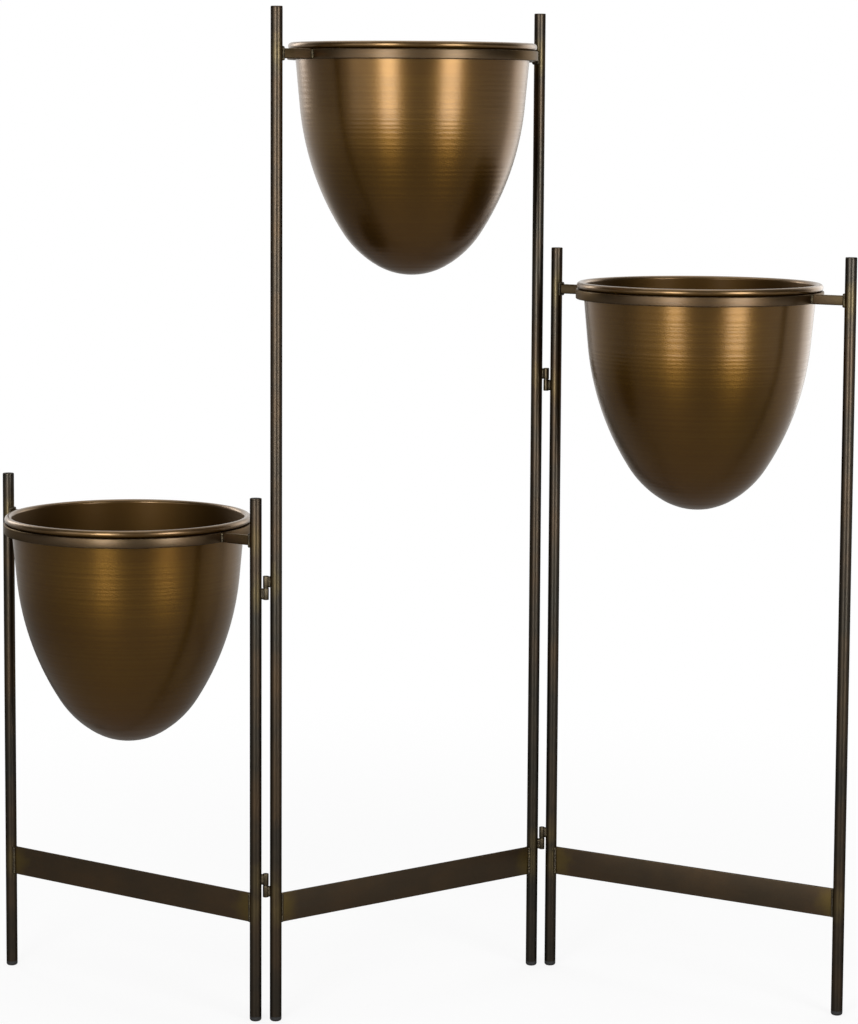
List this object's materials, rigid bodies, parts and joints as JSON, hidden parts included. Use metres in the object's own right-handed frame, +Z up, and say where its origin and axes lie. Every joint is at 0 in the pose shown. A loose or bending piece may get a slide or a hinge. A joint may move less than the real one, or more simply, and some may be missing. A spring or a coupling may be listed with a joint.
{
  "type": "folding standing planter",
  "caption": "Folding metal plant screen of hinged post-and-bar panels at stepped heights, each carrying a round-bottomed spun pot in a ring.",
  "frame": {"origin": "on the floor, at the middle of the standing outline", "axes": "+Z up, +X to the right along the row of panels, +Y to the back"},
  "size_m": [0.8816, 0.2654, 1.029],
  "materials": {
    "frame_metal": "satin",
    "pot_metal": "satin",
    "weld_metal": "satin",
    "pin_steel": "satin",
    "glide_plastic": "matte"
  },
  "bodies": {
    "middle_panel": {"left_lower_hinge_bottom_knuckle": "frame_metal", "left_lower_hinge_pin": "pin_steel", "left_upper_hinge_top_knuckle": "frame_metal", "middle_frame_welds": "weld_metal", "middle_hinge_welds": "weld_metal", "middle_left_post": "frame_metal", "middle_left_post_cap": "frame_metal", "middle_left_post_foot": "glide_plastic", "middle_left_ring_arm": "frame_metal", "middle_right_post": "frame_metal", "middle_right_post_cap": "frame_metal", "middle_right_post_foot": "glide_plastic", "middle_right_ring_arm": "frame_metal", "middle_ring": "frame_metal", "middle_stretcher": "frame_metal", "right_lower_hinge_bottom_knuckle": "frame_metal", "right_lower_hinge_pin": "pin_steel", "right_upper_hinge_top_knuckle": "frame_metal"},
    "left_panel": {"left_frame_welds": "weld_metal", "left_hinge_welds": "weld_metal", "left_inner_post": "frame_metal", "left_inner_post_cap": "frame_metal", "left_inner_post_foot": "glide_plastic", "left_inner_ring_arm": "frame_metal", "left_lower_hinge_top_knuckle": "frame_metal", "left_outer_post": "frame_metal", "left_outer_post_cap": "frame_metal", "left_outer_post_foot": "glide_plastic", "left_outer_ring_arm": "frame_metal", "left_ring": "frame_metal", "left_stretcher": "frame_metal", "left_upper_hinge_bottom_knuckle": "frame_metal", "left_upper_hinge_pin": "pin_steel"},
    "right_panel": {"right_frame_welds": "weld_metal", "right_hinge_welds": "weld_metal", "right_inner_post": "frame_metal", "right_inner_post_cap": "frame_metal", "right_inner_post_foot": "glide_plastic", "right_inner_ring_arm": "frame_metal", "right_lower_hinge_top_knuckle": "frame_metal", "right_outer_post": "frame_metal", "right_outer_post_cap": "frame_metal", "right_outer_post_foot": "glide_plastic", "right_outer_ring_arm": "frame_metal", "right_ring": "frame_metal", "right_stretcher": "frame_metal", "right_upper_hinge_bottom_knuckle": "frame_metal", "right_upper_hinge_pin": "pin_steel"},
    "left_pot": {"left_pot": "pot_metal"},
    "middle_pot": {"middle_pot": "pot_metal"},
    "right_pot": {"right_pot": "pot_metal"}
  },
  "joints": [
    {"name": "left_fold", "type": "hinge", "parent": "middle_panel", "child": "left_panel", "pos_m": [-0.15373, -0.10537, 0.141], "axis": [0, 0, -1], "range_deg": [-104.5, 105]},
    {"name": "right_fold", "type": "hinge", "parent": "middle_panel", "child": "right_panel", "pos_m": [0.14008, 0.09674, 0.141], "axis": [0, 0, -1], "range_deg": [-100.5, 109]},
    {"name": "left_pot_lift", "type": "slide", "parent": "left_panel", "child": "left_pot", "axis": [0, 0, 1], "range_m": [0, 0.22]},
    {"name": "middle_pot_lift", "type": "slide", "parent": "middle_panel", "child": "middle_pot", "axis": [0, 0, 1], "range_m": [0, 0.26]},
    {"name": "right_pot_lift", "type": "slide", "parent": "right_panel", "child": "right_pot", "axis": [0, 0, 1], "range_m": [0, 0.22]}
  ]
}
